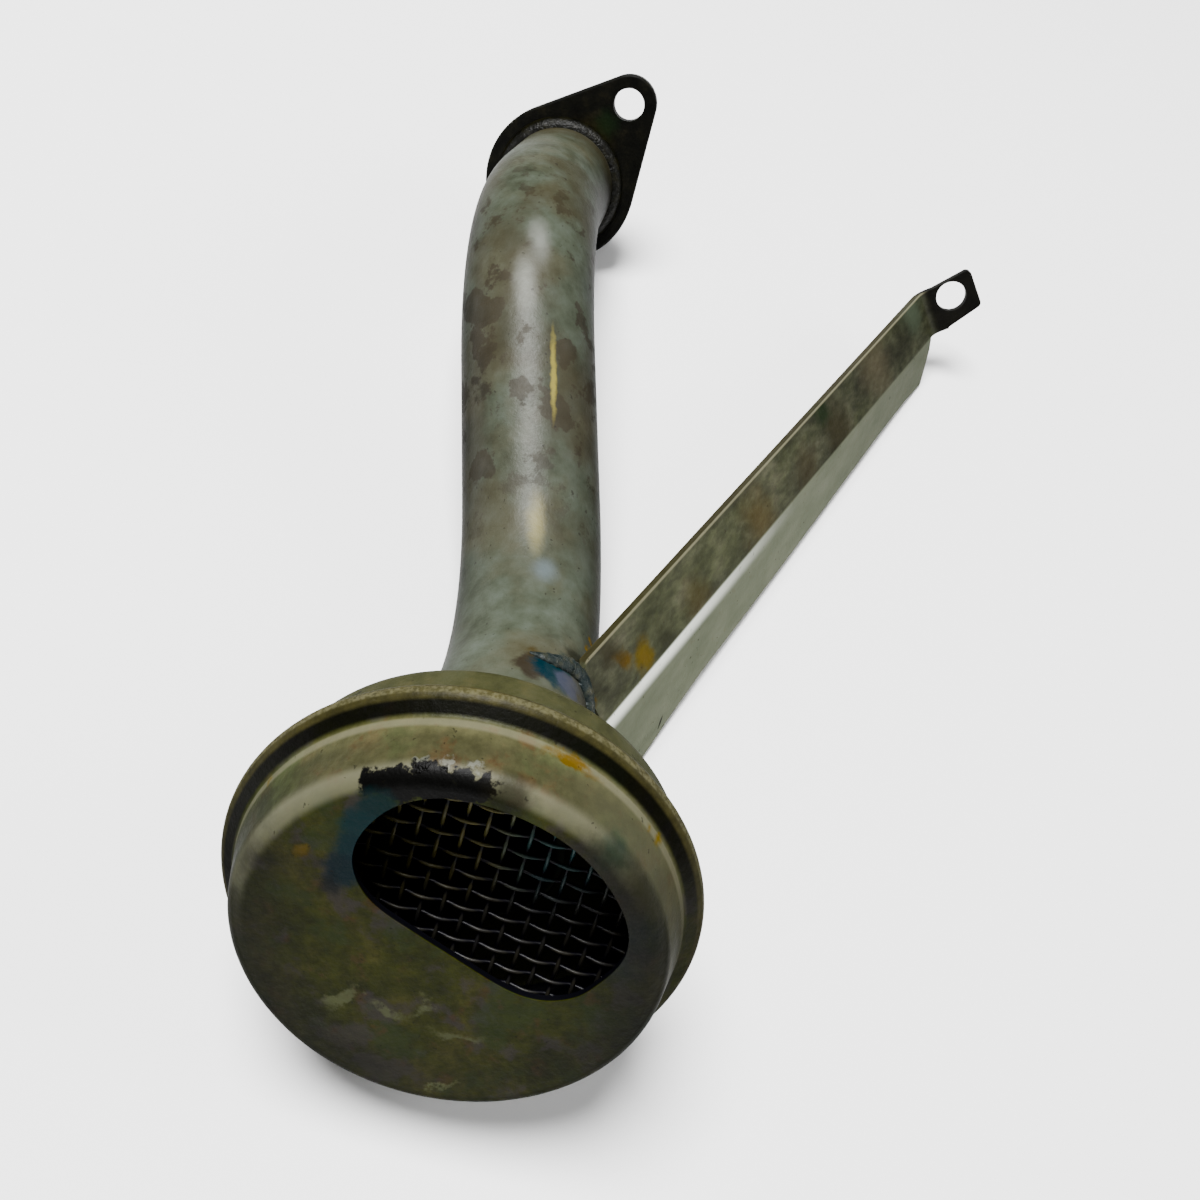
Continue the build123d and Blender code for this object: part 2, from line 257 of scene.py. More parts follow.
# ------------------------------------------------------------------ materials
def tube_steel():
    k = Mat("tube_steel")
    big = k.noise(0.055, 4, 0.55, seed=1)
    mid = k.noise(0.22, 6, 0.6, seed=2)
    fine = k.noise(1.4, 4, 0.6, seed=3)
    col = k.ramp(mid, [(0.30, (70, 74, 63)), (0.50, (89, 94, 83)), (0.72, (104, 110, 101))])
    col = k.mix(k.step(big, 0.42, 0.62), col, k.mix(0.35, col, (100, 92, 74)))
    # brown oxide, in patches with ragged edges, mostly above the lower bend
    ox = k.noise(0.16, 7, 0.66, seed=4.5)
    ox_on = k.step(ox, 0.54, 0.60)
    high = k.both(k.step(k.z, 62, 84), k.step(k.z, 150, 112))
    wo = k.wobble(4.5, 0.22, seed=14)
    burn = k.any(*[k.spot(c, r, 0.35, wo) for c, r in (((52.2, -6.0, 98.0), 4.0), ((47.0, -6.5, 92.0), 3.4), ((53.5, -9.8, 100.9), 4.0),
                                                     ((40.2, 0.9, 86.3), 2.2), ((28.6, -7.0, 79.1), 3.4), ((36.0, 7.6, 86.0), 3.0),
                                                     ((44.0, 9.0, 94.0), 2.6), ((41.0, -7.5, 88.5), 2.4))])
    ox_m = k.any(k.both(ox_on, high), burn)
    col = k.mix(k.f('MULTIPLY', ox_m, 0.66), col, k.ramp(mid, [(0.3, (42, 36, 30)), (0.7, (64, 55, 47))]))
    soft_ox = k.both(k.step(k.noise(0.05, 5, 0.6, seed=6), 0.44, 0.60), k.step(k.z, 60, 84))
    col = k.mix(k.f('MULTIPLY', soft_ox, 0.55), col, (66, 61, 48))
    col = k.mix(k.step(k.z, 150, 176, 0.0, 0.55), col, (62, 56, 42))
    # pale streaks and spots: painted highlights, with a bluish-white painted reflection near the lower bend
    w = k.wobble(0.9, 0.35, seed=2)
    for c, r, s, sq, tint, a in (
            ((41.5, 6.6, 90.0), 0.55, 0.3, ((11.6, 0.3, 10.3), 13.0), (190, 180, 124), 0.8),
            ((21.6, 3.4, 69.6), 1.2, 1.2, ((4.7, 0, 6.2), 3.5), (180, 172, 128), 0.6),
            ((16.2, 5.2, 62.1), 1.5, 2.2, None, (140, 152, 160), 0.45),
            ((61.5, 4.5, 109.3), 1.4, 1.8, ((1, 0, 1), 3.0), (176, 178, 172), 0.6),
            ((56.2, 2.0, 101.3), 1.4, 1.8, ((1, 0, 1), 3.0), (170, 172, 164), 0.6)):
        col = k.mix(k.f('MULTIPLY', k.spot(c, r, s, w, sq), a), col, tint)
    # heat tint and burnt spots round the bracket's weld
    w2 = k.wobble(2.6, 0.32, seed=7)
    col = k.mix(k.f('MULTIPLY', k.spot((9.4, 9.2, 39.6), 8.5, 2.6, w2), 0.35), col, (78, 74, 60))
    for c, r, sf, tint, am in (((12.0, 6.2, 37.2), 3.0, 0.8, (46, 38, 32), 0.8), ((12.2, 5.8, 41.0), 1.4, 0.8, (66, 56, 34), 0.7),
                               ((10.2, 8.6, 38.0), 3.2, 0.9, (14, 44, 54), 0.85), ((9.2, 9.6, 42.2), 2.4, 0.9, (22, 50, 54), 0.8),
                               ((7.4, 11.0, 38.6), 2.6, 0.9, (84, 86, 98), 0.8), ((7.0, 11.2, 46.5), 2.6, 1.2, (30, 32, 22), 0.8),
                               ((5.0, 12.0, 41.0), 2.0, 1.0, (92, 94, 92), 0.6)):
        col = k.mix(k.f('MULTIPLY', k.spot(c, r, sf, w2), am), col, tint)
    for c, r in (((5.6, 12.1, 52.9), 0.8), ((5.3, 12.2, 55.6), 0.8), ((9.3, 9.6, 41.6), 0.55)):
        col = k.mix(k.f('MULTIPLY', k.spot(c, r, 0.4, w2), 0.85), col, (160, 128, 48))
    # small dark pits
    pit = k.step(k.noise(0.9, 2, 0.5, seed=9), 0.70, 0.74)
    col = k.mix(k.f('MULTIPLY', pit, 0.6), col, (38, 34, 28))
    rough = k.f('ADD', k.f('MULTIPLY', fine, 0.16), k.f('ADD', k.f('MULTIPLY', ox_m, 0.12), 0.34))
    h = k.f('ADD', k.f('MULTIPLY', fine, 0.5), k.f('MULTIPLY', k.noise(0.35, 5, 0.6, seed=11), 1.0))
    # painted shade: the bore near the strainer end is near black
    inner_shade = k.f('MINIMUM', k.step(k.r, 12.0, 11.3), k.step(k.z, 48, 44))
    col = k.mix(inner_shade, col, (12, 12, 16))
    # painted shade on the -Y side and painted light on the lower straight by the strainer
    col = k.times(col, k.f('MULTIPLY', k.step(k.y, -3, -12, 1.0, 0.68), k.step(k.z, 66, 42, 1.0, 1.14)))
    # painted shade where the tube turns away from the key light
    return k.finish(k.painted_shade(col, 0.12), rough, 0.03, h, 0.00016, 0.5, 0.15)


def cover_sheet():
    k = Mat("cover_sheet")
    big = k.noise(0.09, 5, 0.6, seed=21)
    mid = k.noise(0.17, 6, 0.58, seed=22)
    fine = k.noise(1.8, 4, 0.6, seed=23)
    col = k.ramp(mid, [(0.30, (46, 50, 24)), (0.50, (60, 63, 32)), (0.70, (76, 75, 44))])
    grain = k.noise(0.75, 5, 0.6, seed=30)
    col = k.times(col, k.step(grain, 0.3, 0.7, 0.72, 1.26))
    hue = k.noise(0.11, 5, 0.6, seed=24)
    col = k.mix(k.f('MULTIPLY', k.step(hue, 0.52, 0.60), 0.6), col, (74, 68, 70))
    hue2 = k.noise(0.12, 5, 0.6, seed=25)
    col = k.mix(k.f('MULTIPLY', k.step(hue2, 0.53, 0.62), 0.5), col, (56, 68, 44))
    hue3 = k.noise(0.24, 4, 0.6, seed=26)
    col = k.mix(k.f('MULTIPLY', k.step(hue3, 0.56, 0.68), 0.4), col, (90, 68, 54))
    # the wall is tan above, towards the tube's side, and darker below: the tan is partly its own tone and partly
    # painted light on the top
    top = k.step(k.x, -14, 16)
    wall = k.both(k.step(k.r, 25.4, 27.2), k.step(k.z, -1.6, -2.8))
    tan = k.ramp(mid, [(0.3, (76, 76, 57)), (0.5, (92, 91, 71)), (0.7, (106, 98, 78))])
    tan = k.mix(k.f('MULTIPLY', k.step(hue3, 0.54, 0.66), 0.5), tan, (98, 76, 62))
    # painted shade on the wall's -Y side
    tan = k.mix(k.both(k.step(k.y, -4, -22)), tan, k.mix(0.7, tan, (52, 60, 44)))
    tan = k.mix(k.f('MULTIPLY', k.step(hue, 0.5, 0.62), 0.5), tan, (92, 98, 74))
    # painted shade across the wall's middle band, between the root and shoulder highlights, with grain
    tan = k.times(tan, k.both(k.step(k.z, -5.6, -3.4, 0.62, 1.0), k.step(grain, 0.3, 0.7, 0.82, 1.16)))
    # painted light towards the top and painted shade towards the -Y side
    tan = k.times(tan, k.f('MULTIPLY', k.step(k.x, 2, 22, 1.0, 1.28), k.step(k.y, -8, -24, 1.0, 0.8)))
    col = k.mix(k.both(wall, top), col, tan)
    # painted highlight along the top of the shoulder
    shoulder_highlight = k.both(k.step(k.r, 24.6, 25.8), k.step(k.r, 27.6, 26.9), k.step(k.z, -7.0, -8.2), k.step(k.x, -2, 16))
    col = k.mix(k.f('MULTIPLY', shoulder_highlight, 0.48), col, (158, 157, 138))
    # painted light on the wall's right side
    right = k.step(k.y, 14, 24)
    col = k.mix(k.f('MULTIPLY', k.both(wall, right), 0.5), col, (100, 100, 84))
    # painted highlight along the root line, where the wall meets the groove
    root = k.both(k.step(k.r, 28.62, 28.78), k.step(k.r, 29.05, 28.92), k.step(k.x, -20, 4))
    col = k.mix(k.f('MULTIPLY', root, 0.38), col, (164, 162, 142))
    # groove in front of the rolled rim, near black on the upper side
    front = k.both(k.step(k.r, 29.0, 29.5), k.step(k.z, -0.1, -0.6))
    col = k.mix(k.f('MULTIPLY', k.both(front, k.step(k.x, -18, 6)), 0.95), col, (5, 5, 3))
    # worn crest of the rim, speckled, with a painted highlight along it
    rim = k.both(k.step(k.r, 30.5, 30.9), k.step(k.z, 2.6, 1.6))
    crest = k.both(k.step(k.r, 31.2, 31.38), k.step(k.z, 1.0, 0.4))
    spk = k.step(k.noise(1.7, 3, 0.6, seed=27), 0.36, 0.62, 0.25, 1.0)
    col = k.mix(k.f('MULTIPLY', rim, 0.9), col, k.times(k.ramp(mid, [(0.3, (54, 53, 36)), (0.7, (80, 76, 54))]), k.step(grain, 0.3, 0.7, 0.7, 1.25)))
    col = k.mix(k.f('MULTIPLY', k.both(crest, spk), 0.42), col, (152, 149, 126))
    # the root line and the shoulder carry painted highlights, laid above
    w = k.wobble(1.5, 0.4, seed=5)
    # ragged burnt patch above the inlet, with a flaked edge made pale by painted glints
    wr = k.wobble(2.2, 0.55, seed=8)
    burnt = k.any(k.spot((25.2, -0.6, -10.2), 2.4, 0.25, wr), k.spot((25.3, 3.4, -10.0), 2.6, 0.25, wr),
                  k.spot((24.6, 6.6, -10.2), 2.3, 0.25, wr), k.spot((24.4, 9.2, -10.2), 1.6, 0.25, wr),
                  k.spot((25.6, -3.6, -9.9), 1.6, 0.25, wr))
    flake_and_glint = k.any(k.spot((27.0, 2.6, -8.9), 0.7, 0.3, wr), k.spot((27.0, 5.4, -8.7), 0.8, 0.3, wr),
                  k.spot((26.5, 8.6, -8.5), 0.8, 0.3, wr))
    col = k.mix(k.f('MULTIPLY', flake_and_glint, 0.55), col, (150, 152, 144))
    col = k.mix(burnt, col, (7, 7, 6))
    # stains round the inlet: teal to one side and below
    for c, r, s, tint, a in (
            ((22.4, -3.4, -10.4), 2.2, 1.0, (6, 44, 46), 0.9),
            ((19.8, -6.0, -10.4), 2.2, 0.9, (8, 52, 56), 0.9),
            ((16.6, -7.6, -10.4), 2.4, 0.9, (7, 46, 54), 0.9),
            ((13.6, -9.6, -10.4), 2.4, 0.9, (6, 34, 44), 0.9),
            ((11.6, -11.6, -10.4), 1.4, 0.8, (10, 20, 22), 0.8),
            ((14.0, 22.6, -9.9), 2.2, 1.8, (24, 60, 54), 0.6),
            ((2.0, 24.6, -10.4), 2.6, 1.8, (32, 52, 62), 0.6),
            ((-3.0, 22.0, -10.4), 2.6, 1.8, (34, 50, 60), 0.5),
            ((22.5, 11.8, -10.4), 2.6, 1.6, (26, 24, 16), 0.75)):
        col = k.mix(k.f('MULTIPLY', k.spot(c, r, s, w), a), col, tint)
    # mustard varnish specks
    streak = k.spot((22.6, 18.2, -3.2), 0.75, 0.5, k.wobble(1.6, 0.5, seed=31), ((-0.63, 0.77, 0), 4.5))
    col = k.mix(k.f('MULTIPLY', streak, 0.7), col, (112, 84, 34))
    for c, r in (((21.7, -19.4, -3.0), 0.6),
                 ((16.5, -14.0, -10.4), 0.9), ((10.2, 27.0, -3.2), 0.6), ((12.4, 26.2, -3.2), 0.5)):
        col = k.mix(k.f('MULTIPLY', k.spot(c, r, 0.5, w), 0.75), col, (118, 98, 34))
    rim_dark = k.both(k.step(k.r, 15, 25), k.step(k.z, -7.5, -9.0), k.step(k.x, -25, -15, 0.35, 1.0), k.step(k.f('ADD', k.x, k.f('MULTIPLY', k.f('SUBTRACT', hue2, 0.5), 30)), 22, 8))
    col = k.mix(k.f('MULTIPLY', rim_dark, 0.78), col, k.times(k.ramp(mid, [(0.3, (14, 16, 8)), (0.7, (36, 36, 26))]), k.step(grain, 0.3, 0.7, 0.7, 1.3)))
    # pale rubbed smears low on the face
    wl = k.wobble(3.2, 0.28, seed=12)
    smear = k.any(k.spot((-6.6, -14.0, -10.4), 0.9, 0.4, wl, ((0.35, 1, 0), 3.4)), k.spot((-9.2, -8.4, -10.4), 0.8, 0.4, wl, ((-0.5, 1, 0), 3.0)),
                  k.spot((-8.0, -3.6, -10.4), 0.9, 0.4, wl, ((0.8, 1, 0), 2.6)), k.spot((-13.6, -0.8, -10.4), 0.7, 0.4, wl, ((-0.2, 1, 0), 4.0)),
                  k.spot((-22.4, -4.6, -10.2), 0.5, 0.3, wl, ((0.1, 1, 0), 4.0)))
    col = k.mix(k.f('MULTIPLY', smear, 0.7), col, (112, 116, 90))
    pit = k.step(k.noise(1.1, 2, 0.5, seed=28), 0.70, 0.74)
    col = k.mix(k.f('MULTIPLY', pit, 0.55), col, (20, 20, 14))
    # painted shade: the opening's cut edge and the inside of the wall are near black
    inner_shade = k.any(k.both(k.step(k.z, -10.34, -10.2), k.step(k.r, 24.2, 23.8)), k.both(k.step(k.z, -7.6, -7.2), k.step(k.r, 27.2, 26.95)))
    col = k.mix(inner_shade, col, (12, 12, 16))
    rough = k.f('ADD', k.f('MULTIPLY', fine, 0.2), 0.30)
    h = k.f('ADD', k.f('MULTIPLY', fine, 0.5), k.noise(0.5, 5, 0.6, seed=29))
    h = k.f('ADD', h, k.f('MULTIPLY', flake_and_glint, 1.2))
    # painted shade where the cover turns away from the key light
    return k.finish(k.painted_shade(col, 0.42), rough, 0.03, h, 0.0002, 0.4, 0.05)


def housing_sheet():
    k = Mat("housing_sheet")
    mid = k.noise(0.33, 6, 0.62, seed=31)
    fine = k.noise(1.8, 4, 0.6, seed=32)
    col = k.ramp(mid, [(0.3, (64, 65, 48)), (0.5, (77, 78, 58)), (0.7, (90, 88, 67))])
    hue = k.noise(0.14, 4, 0.6, seed=33)
    col = k.mix(k.f('MULTIPLY', k.step(hue, 0.48, 0.66), 0.5), col, (86, 88, 70))
    # painted shade: darker on the lower side
    low = k.step(k.x, 8, -18)
    col = k.mix(k.f('MULTIPLY', low, 0.8), col, (52, 53, 38))
    # painted shade: the inside at the back is near black
    inner_shade = k.both(k.step(k.z, 10.5, 10.3), k.step(k.r, 27.6, 27.3))
    col = k.mix(inner_shade, col, (11, 11, 17))
    pit = k.step(k.noise(0.8, 2, 0.5, seed=34), 0.69, 0.73)
    col = k.mix(k.f('MULTIPLY', pit, 0.6), col, (36, 34, 24))
    rough = k.f('ADD', k.f('MULTIPLY', fine, 0.2), 0.36)
    h = k.f('ADD', k.f('MULTIPLY', fine, 0.5), k.noise(0.5, 5, 0.6, seed=35))
    # painted shade where the housing turns away from the key light
    return k.finish(k.painted_shade(col, 0.3), rough, 0.03, h, 0.0002, 0.4, 0.08)


FOLD = Vector((22.47, 84.81, 177.4))
AZ, PITCH = math.radians(73.8), math.radians(60.7)
OUT = Vector((math.cos(AZ), math.sin(AZ), 0))
WIDE = Vector((math.sin(AZ), -math.cos(AZ), 0))
ALONG = OUT * math.cos(PITCH) + Vector((0, 0, 1)) * math.sin(PITCH)
FRONT = OUT * math.sin(PITCH) - Vector((0, 0, 1)) * math.cos(PITCH)


def bracket_strip():
    k = Mat("bracket_strip")
    rel = k.vm('SUBTRACT', k.p, tuple(FOLD))
    a = k.f('MULTIPLY', k.vm('DOT_PRODUCT', rel, tuple(ALONG), out='Value'), -1.0)
    c = k.vm('DOT_PRODUCT', rel, tuple(WIDE), out='Value')
    dep = k.vm('DOT_PRODUCT', rel, tuple(FRONT), out='Value')
    drawn = k.nt.nodes.new('ShaderNodeVectorMath')
    drawn.operation = 'SCALE'
    drawn.inputs[0].default_value = tuple(ALONG * 0.55)
    k.nt.links.new(a, drawn.inputs['Scale'])
    long = k.vm('ADD', k.p, drawn.outputs[0])
    mid = k.noise(0.20, 6, 0.6, vec=long, seed=41)
    big = k.noise(0.09, 4, 0.55, vec=long, seed=42)
    fine = k.noise(1.6, 4, 0.6, seed=43)
    web = k.ramp(mid, [(0.34, (38, 38, 30)), (0.46, (58, 59, 48)), (0.58, (76, 77, 64)), (0.70, (94, 93, 80))])
    web = k.mix(k.f('MULTIPLY', k.step(big, 0.44, 0.62), 0.4), web, (76, 80, 60))
    web = k.mix(k.step(a, 110, 20), k.times(web, 1.25), k.mix(0.35, web, (56, 58, 48)))
    web = k.times(web, k.step(k.noise(0.8, 5, 0.6, vec=long, seed=50), 0.3, 0.7, 0.7, 1.25))
    w = k.wobble(4.0, 0.16, seed=44)
    for p, r, s, tint, am in (
            ((12.5, 59.5, 128.5), 5.5, 4.0, (46, 42, 28), 0.72),
            ((17.9, 55.7, 125.3), 3.0, 2.0, (24, 38, 20), 0.8),
            ((10.0, 52.0, 114.0), 4.0, 3.0, (58, 50, 36), 0.5),
            ((20.0, 70.0, 149.0), 6.0, 5.0, (96, 88, 74), 0.4),
            ((25.7, 79.6, 170.0), 5.0, 4.0, (84, 92, 80), 0.7),
            ((7.5, 41.5, 95.8), 5.0, 4.0, (94, 82, 58), 0.5),
            ((2.6, 29.9, 73.6), 4.0, 3.0, (70, 60, 38), 0.55),
            ((0.6, 20.6, 56.6), 2.4, 1.6, (112, 92, 36), 0.75),
            ((3.3, 17.5, 52.7), 1.8, 1.2, (104, 80, 34), 0.7),
            ((-1.0, 25.0, 63.3), 3.4, 2.0, (34, 34, 22), 0.7),
            ((0.8, 13.2, 44.0), 1.3, 0.7, (128, 98, 36), 0.75),
            ((5.1, 16.2, 51.4), 2.4, 1.8, (44, 40, 26), 0.7)):
        web = k.mix(k.f('MULTIPLY', k.spot(p, r, s, w), am), web, tint)
    # the wing: paler than the web, partly its own grey and partly painted light from the floor's bounce, darker
    # towards the tab
    wing = k.ramp(mid, [(0.30, (122, 127, 110)), (0.6, (138, 142, 125)), (0.8, (146, 149, 134))])
    wing = k.mix(k.step(a, 90, 5), wing, k.mix(0.45, wing, (70, 72, 58)))
    # painted highlight: a white band along the fold, fading in towards the tube
    fold_highlight = k.both(k.step(c, -5.2, -5.9), k.step(c, -9.2, -6.6), k.step(a, 75, 140))
    wing = k.mix(k.f('MULTIPLY', fold_highlight, 0.9), wing, (352, 356, 344))
    wing = k.mix(k.f('MULTIPLY', k.step(k.noise(0.5, 4, 0.6, seed=46), 0.60, 0.70), 0.3), wing, (120, 116, 98))
    col = k.mix(k.step(c, -5.0, -5.7), web, wing)
    # the cut edge along the web, dark, with a painted highlight along its rim
    edge = k.step(dep, -0.35, -0.6)
    on_edge = k.both(edge, k.step(c, 5.0, 5.25))
    col = k.mix(k.f('MULTIPLY', on_edge, 0.7), col, (64, 60, 44))
    rim = k.both(k.step(c, 4.9, 5.2), k.step(dep, -0.5, -0.2))
    col = k.mix(k.f('MULTIPLY', rim, 0.6), col, (172, 168, 146))
    # the back of the strip is duller
    col = k.mix(k.f('MULTIPLY', k.both(k.step(dep, -1.6, -1.95), k.step(c, -5.6, -5.0)), 0.6), col, (88, 84, 64))
    # tab, near black
    tab = k.step(a, 1.2, -1.0)
    col = k.mix(tab, col, k.ramp(mid, [(0.3, (8, 8, 7)), (0.7, (26, 25, 20))]))
    # a short scratch on the wing
    sc = k.spot((-16.0, 21.4, 63.1), 0.35, 0.2, k.wobble(0.3, 1.2, seed=47), ((1, 0.2, 0.6), 5.0))
    col = k.mix(sc, col, (28, 26, 22))
    pit = k.step(k.noise(0.9, 2, 0.5, seed=48), 0.71, 0.75)
    col = k.mix(k.f('MULTIPLY', pit, 0.6), col, (40, 36, 26))
    rough = k.f('ADD', k.f('MULTIPLY', fine, 0.18), 0.34)
    h = k.f('ADD', k.f('MULTIPLY', fine, 0.5), k.noise(0.4, 5, 0.6, seed=49))
    return k.finish(col, rough, 0.03, h, 0.0002, 0.4, 0.08)


def flange_plate():
    k = Mat("flange_plate")
    mid = k.noise(0.3, 6, 0.62, seed=51)
    fine = k.noise(1.6, 4, 0.6, seed=52)
    col = k.ramp(mid, [(0.3, (9, 9, 8)), (0.55, (20, 20, 16)), (0.75, (38, 36, 28))])
    w = k.wobble(2.0, 0.4, seed=53)
    col = k.mix(k.f('MULTIPLY', k.spot((70.0, 8.0, 175.4), 4.5, 3.0, w), 0.4), col, (62, 56, 34))
    col = k.mix(k.f('MULTIPLY', k.spot((74.0, 12.5, 175.4), 2.5, 2.0, w), 0.4), col, (40, 58, 38))
    rough = k.f('ADD', k.f('MULTIPLY', fine, 0.2), 0.38)
    return k.finish(col, rough, 0.1, k.f('ADD', fine, mid), 0.0002, 0.4, 0.06)


def filler(name, a, b, c, metallic=0.6):
    k = Mat(name)
    mid = k.noise(0.5, 5, 0.6, seed=61)
    fine = k.noise(2.2, 4, 0.6, seed=62)
    col = k.ramp(mid, [(0.3, a), (0.5, b), (0.7, c)])
    ripple = k.noise(0.9, 2, 0.5, dist=1.5, seed=63)
    h = k.f('ADD', k.f('MULTIPLY', fine, 0.3), ripple)
    rough = k.f('ADD', k.f('MULTIPLY', fine, 0.2), 0.32)
    return k.finish(col, rough, metallic, h, 0.0005, 0.6, 0.12)


def wire_metal():
    k = Mat("screen_wire")
    mid = k.noise(0.25, 5, 0.6, seed=71)
    fine = k.noise(2.5, 3, 0.6, seed=72)
    col = k.ramp(mid, [(0.3, (74, 73, 54)), (0.5, (100, 96, 66)), (0.7, (118, 112, 74))])
    w = k.wobble(3.0, 0.2, seed=73)
    col = k.mix(k.f('MULTIPLY', k.spot((6.0, 14.0, -0.6), 7.0, 4.0, w), 0.7), col, (34, 84, 92))
    col = k.mix(k.f('MULTIPLY', k.step(k.x, 10, -2), 0.8), col, (36, 36, 46))
    # painted shade: the recessed half of each wire, further back in the weave, is near black
    col = k.mix(k.step(k.z, -0.96, -0.70), col, (12, 11, 20))
    return k.finish(col, 0.42, 0.25, fine, 0.00008, 0.3, 0.3)


MATS = {
    "suction_tube": tube_steel(),
    "inlet_cover": cover_sheet(),
    "upper_housing": housing_sheet(),
    "support_bracket": bracket_strip(),
    "mounting_flange": flange_plate(),
    "flange_braze": filler("flange_braze_metal", (9, 9, 7), (16, 16, 11), (32, 31, 20), 0.03),
    "housing_braze": filler("housing_braze_metal", (60, 56, 38), (84, 78, 54), (100, 94, 68), 0.05),
    "bracket_weld": filler("weld_metal", (26, 36, 38), (50, 56, 54), (76, 76, 64), 0.05),
}


def node_object(name):
    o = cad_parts[name]
    if isinstance(o, (list, tuple)):
        return list(o)
    return [o]


for name, m in MATS.items():
    for o in node_object(name):
        if isinstance(o, str):
            o = bpy.data.objects[o]
        o.data.materials.clear()
        o.data.materials.append(m)

# ------------------------------------------------------------------ woven screen
WIRE_R = 0.275
PITCH_MM = 2.78
SCREEN_Z = -0.62
SCREEN_R = 28.15
AZS = (math.radians(22.4), math.radians(112.7))
AMP = 0.27


def woven():
    verts, faces = [], []
    dirs = [Vector((math.cos(t), math.sin(t), 0)) for t in AZS]
    nors = [Vector((-math.sin(t), math.cos(t), 0)) for t in AZS]
    count = int(SCREEN_R / PITCH_MM) + 1
    for fam in (0, 1):
        d, n = dirs[fam], nors[fam]
        other = nors[1 - fam]
        for i in range(-count, count + 1):
            off = (i + 0.35) * PITCH_MM
            if abs(off) > SCREEN_R - 1.4:
                continue
            half = math.sqrt(SCREEN_R ** 2 - off ** 2)
            seg = max(8, int(2 * half / PITCH_MM * 7))
            sign = 1 if (i % 2 == 0) else -1
            if fam:
                sign = -sign
            pts = []
            for s in range(seg + 1):
                q = n * off + d * (-half + 2 * half * s / seg)
                ph = q.dot(other) / PITCH_MM - 0.35
                pts.append(Vector((q.x, q.y, SCREEN_Z + sign * AMP * math.cos(math.pi * ph))))
            ring0 = len(verts)
            m = 8
            for s, p in enumerate(pts):
                t = (pts[min(s + 1, seg)] - pts[max(s - 1, 0)]).normalized()
                b = n
                u = t.cross(b).normalized()
                for j in range(m):
                    a = 2 * math.pi * j / m
                    verts.append(wpos(p + b * (WIRE_R * math.cos(a)) + u * (WIRE_R * math.sin(a))))
            for s in range(seg):
                for j in range(m):
                    a0, a1 = ring0 + s * m + j, ring0 + s * m + (j + 1) % m
                    faces.append((a0, a1, a1 + m, a0 + m))
            faces.append(tuple(ring0 + j for j in range(m))[::-1])
            faces.append(tuple(ring0 + seg * m + j for j in range(m)))
    me = bpy.data.meshes.new("woven_screen")
    me.from_pydata([tuple(v) for v in verts], [], faces)
    for p in me.polygons:
        p.use_smooth = True
    me.validate()
    o = bpy.data.objects.new("woven_screen", me)
    bpy.context.scene.collection.objects.link(o)
    o.data.materials.append(wire_metal())
    return o


def solid_mesh(name, rings, material, loop=True, angle=30.0):
    """closed skin over rings of points; loop joins the last ring to the first, else both ends are capped"""
    m = len(rings[0])
    verts = [wpos(p) for ring in rings for p in ring]
    faces = []
    n = len(rings)
    for i in range(n if loop else n - 1):
        a, b = i * m, ((i + 1) % n) * m
        for j in range(m):
            faces.append((a + j, a + (j + 1) % m, b + (j + 1) % m, b + j))
    if not loop:
        faces.append(tuple(range(m))[::-1])
        faces.append(tuple((n - 1) * m + j for j in range(m)))
    me = bpy.data.meshes.new(name)
    me.from_pydata([tuple(v) for v in verts], [], faces)
    me.validate()
    bm = bmesh.new()
    bm.from_mesh(me)
    bmesh.ops.recalc_face_normals(bm, faces=bm.faces)
    bm.to_mesh(me)
    bm.free()
    for p in me.polygons:
        p.use_smooth = True
    me.set_sharp_from_angle(angle=math.radians(angle))
    o = bpy.data.objects.new(name, me)
    bpy.context.scene.collection.objects.link(o)
    me.materials.append(material)
    return o


def tube_rings():
    """the tube's skin: outside from the strainer to the pump's end, then back along the bore"""
    turn = math.atan2(61.05, 52.4)
    t1, t2 = 52.0 * math.tan(turn / 2), 61.0 * math.tan(turn / 2)
    st = []
    for i in range(13):
        st.append((0.95, 9.4 + (69.3 - t1 - 9.4) * i / 12, 0.0))
    for i in range(1, 31):
        f = turn * i / 30
        st.append((0.95 + 52.0 * (1 - math.cos(f)), 69.3 - t1 + 52.0 * math.sin(f), f))
    a2 = (62.0 - math.sin(turn) * t2, 121.7 - math.cos(turn) * t2)
    c2 = (a2[0] - 61.0 * math.cos(turn), a2[1] + 61.0 * math.sin(turn))
    x, z, f = st[-1]
    for i in range(1, 9):
        st.append((x + (a2[0] - x) * i / 8, z + (a2[1] - z) * i / 8, turn))
    for i in range(1, 37):
        f = turn * (1 - i / 36)
        st.append((c2[0] + 61.0 * math.cos(f), c2[1] - 61.0 * math.sin(f), f))
    z0 = st[-1][1]
    for i in range(1, 11):
        st.append((62.0, z0 + (180.0 - z0) * i / 10, 0.0))
    seq = [(p, 12.7) for p in st]
    seq += [((62.0, 180.0, 0.0), 12.5), ((62.0, 186.8, 0.0), 12.5), ((62.0, 187.4, 0.0), 11.9), ((62.0, 187.4, 0.0), 11.2)]
    seq += [(p, 11.2) for p in st[::-1]]
    rings = []
    for (x, z, f), r in seq:
        e = (math.cos(f), -math.sin(f))
        rings.append([Vector((x + e[0] * r * math.cos(t), r * math.sin(t), z + e[1] * r * math.cos(t)))
                      for t in (2 * math.pi * j / 96 for j in range(96))])
    return rings


tube = solid_mesh("tube_skin", tube_rings(), MATS["suction_tube"])
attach(tube, "root")
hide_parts("suction_tube")


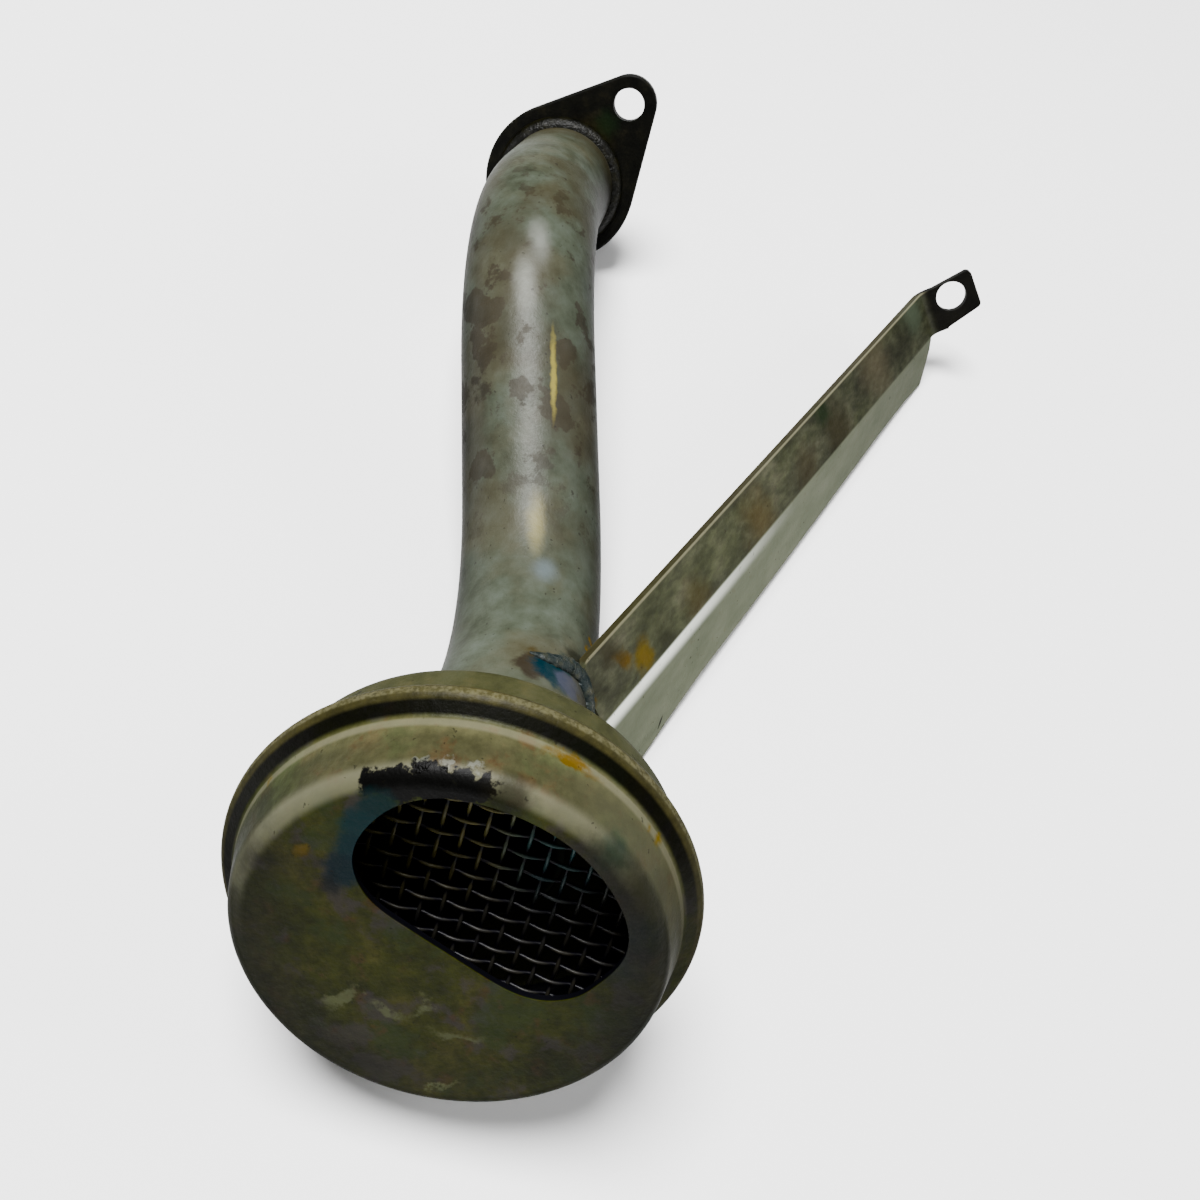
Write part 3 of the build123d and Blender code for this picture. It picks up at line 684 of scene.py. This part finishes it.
def bead_rings():
    """an uneven run of weld, lapped in ripples, along the tube beside the bracket's end"""
    rnd = random.Random(11)
    key = [(24, 40.6, 0.25), (34, 40.8, 1.0), (44, 41.6, 1.5), (56, 43.2, 1.9), (68, 44.0, 1.9), (82, 43.0, 1.9), (94, 41.8, 1.6), (102, 41.2, 0.3)]
    pts = []
    steps = 12
    for i in range(len(key) - 1):
        for s in range(steps):
            u = s / steps
            w = u * u * (3 - 2 * u)
            pts.append([key[i][k] + (key[i + 1][k] - key[i][k]) * w for k in range(3)])
    pts.append(list(key[-1]))
    cen = []
    for i, (deg, z, r) in enumerate(pts):
        t = math.radians(deg)
        ripple = 0.8 + 0.035 * math.sin(i * 2 * math.pi / 5.0) + rnd.uniform(-0.03, 0.03)
        cen.append((Vector((0.95 + 12.75 * math.cos(t), 12.75 * math.sin(t), z)), r * ripple, t))
    rings = []
    for i, (c, r, t) in enumerate(cen):
        d = (cen[min(i + 1, len(cen) - 1)][0] - cen[max(i - 1, 0)][0]).normalized()
        out = Vector((math.cos(t), math.sin(t), 0))
        out = (out - d * out.dot(d)).normalized()
        side = d.cross(out)
        rings.append([c + out * (r * 0.75 * math.cos(a)) + side * (r * 1.15 * math.sin(a) * (1 + 0.06 * math.sin(3 * a + i)))
                      for a in (2 * math.pi * j / 18 for j in range(18))])
    return rings


bead = solid_mesh("weld_bead", bead_rings(), MATS["bracket_weld"], loop=False, angle=75.0)
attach(bead, "root")
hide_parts("bracket_weld")

screen = woven()
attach(screen, "root")
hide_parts("wire_screen")

# ------------------------------------------------------------------ floor and light
me = bpy.data.meshes.new("floor")
s = 6.0
me.from_pydata([(-s, -s, 0), (s, -s, 0), (s, s, 0), (-s, s, 0)], [], [(0, 1, 2, 3)])
floor = bpy.data.objects.new("floor", me)
bpy.context.scene.collection.objects.link(floor)
fm = bpy.data.materials.new("floor_pale")
fm.use_nodes = True
fb = next(n for n in fm.node_tree.nodes if n.type == 'BSDF_PRINCIPLED')
fb.inputs['Base Color'].default_value = (0.92, 0.92, 0.92, 1)
fb.inputs['Roughness'].default_value = 0.9
fb.inputs['Specular IOR Level'].default_value = 0.1
floor.data.materials.append(fm)


def area(name, toward, dist, size, power, aim=(0, 0, 0.02), color=(1, 1, 1)):
    d = bpy.data.lights.new(name, 'AREA')
    d.shape = 'DISK'
    d.size = size
    d.energy = power
    d.color = color
    o = bpy.data.objects.new(name, d)
    bpy.context.scene.collection.objects.link(o)
    v = Vector(toward).normalized()
    o.location = Vector(aim) + v * dist
    o.rotation_euler = v.to_track_quat('Z', 'Y').to_euler()
    return o


area("key_overhead", wdir((0.91, 0.146, -0.36)), 1.5, 0.75, 90)
area("side_right", wdir((0.15, 0.95, -0.12)), 1.2, 0.6, 7)
area("fill_camera", wdir((0.4507, 0.1374, -0.8820)), 1.6, 0.6, 3)

world = bpy.data.worlds.new("studio")
world.use_nodes = True
bg = next(n for n in world.node_tree.nodes if n.type == 'BACKGROUND')
wt = world.node_tree
tc = wt.nodes.new('ShaderNodeTexCoord')
sep = wt.nodes.new('ShaderNodeSeparateXYZ')
wt.links.new(tc.outputs['Generated'], sep.inputs[0])
mr = wt.nodes.new('ShaderNodeMapRange')
mr.interpolation_type = 'SMOOTHSTEP'
mr.inputs['From Min'].default_value = -0.2
mr.inputs['From Max'].default_value = 0.9
mr.inputs['To Min'].default_value = 0.8
mr.inputs['To Max'].default_value = 1.0
wt.links.new(sep.outputs[1], mr.inputs['Value'])
cmb = wt.nodes.new('ShaderNodeCombineColor')
for kk in range(3):
    wt.links.new(mr.outputs['Result'], cmb.inputs[kk])
wt.links.new(cmb.outputs[0], bg.inputs['Color'])
bg.inputs['Strength'].default_value = 0.15
bpy.context.scene.world = world
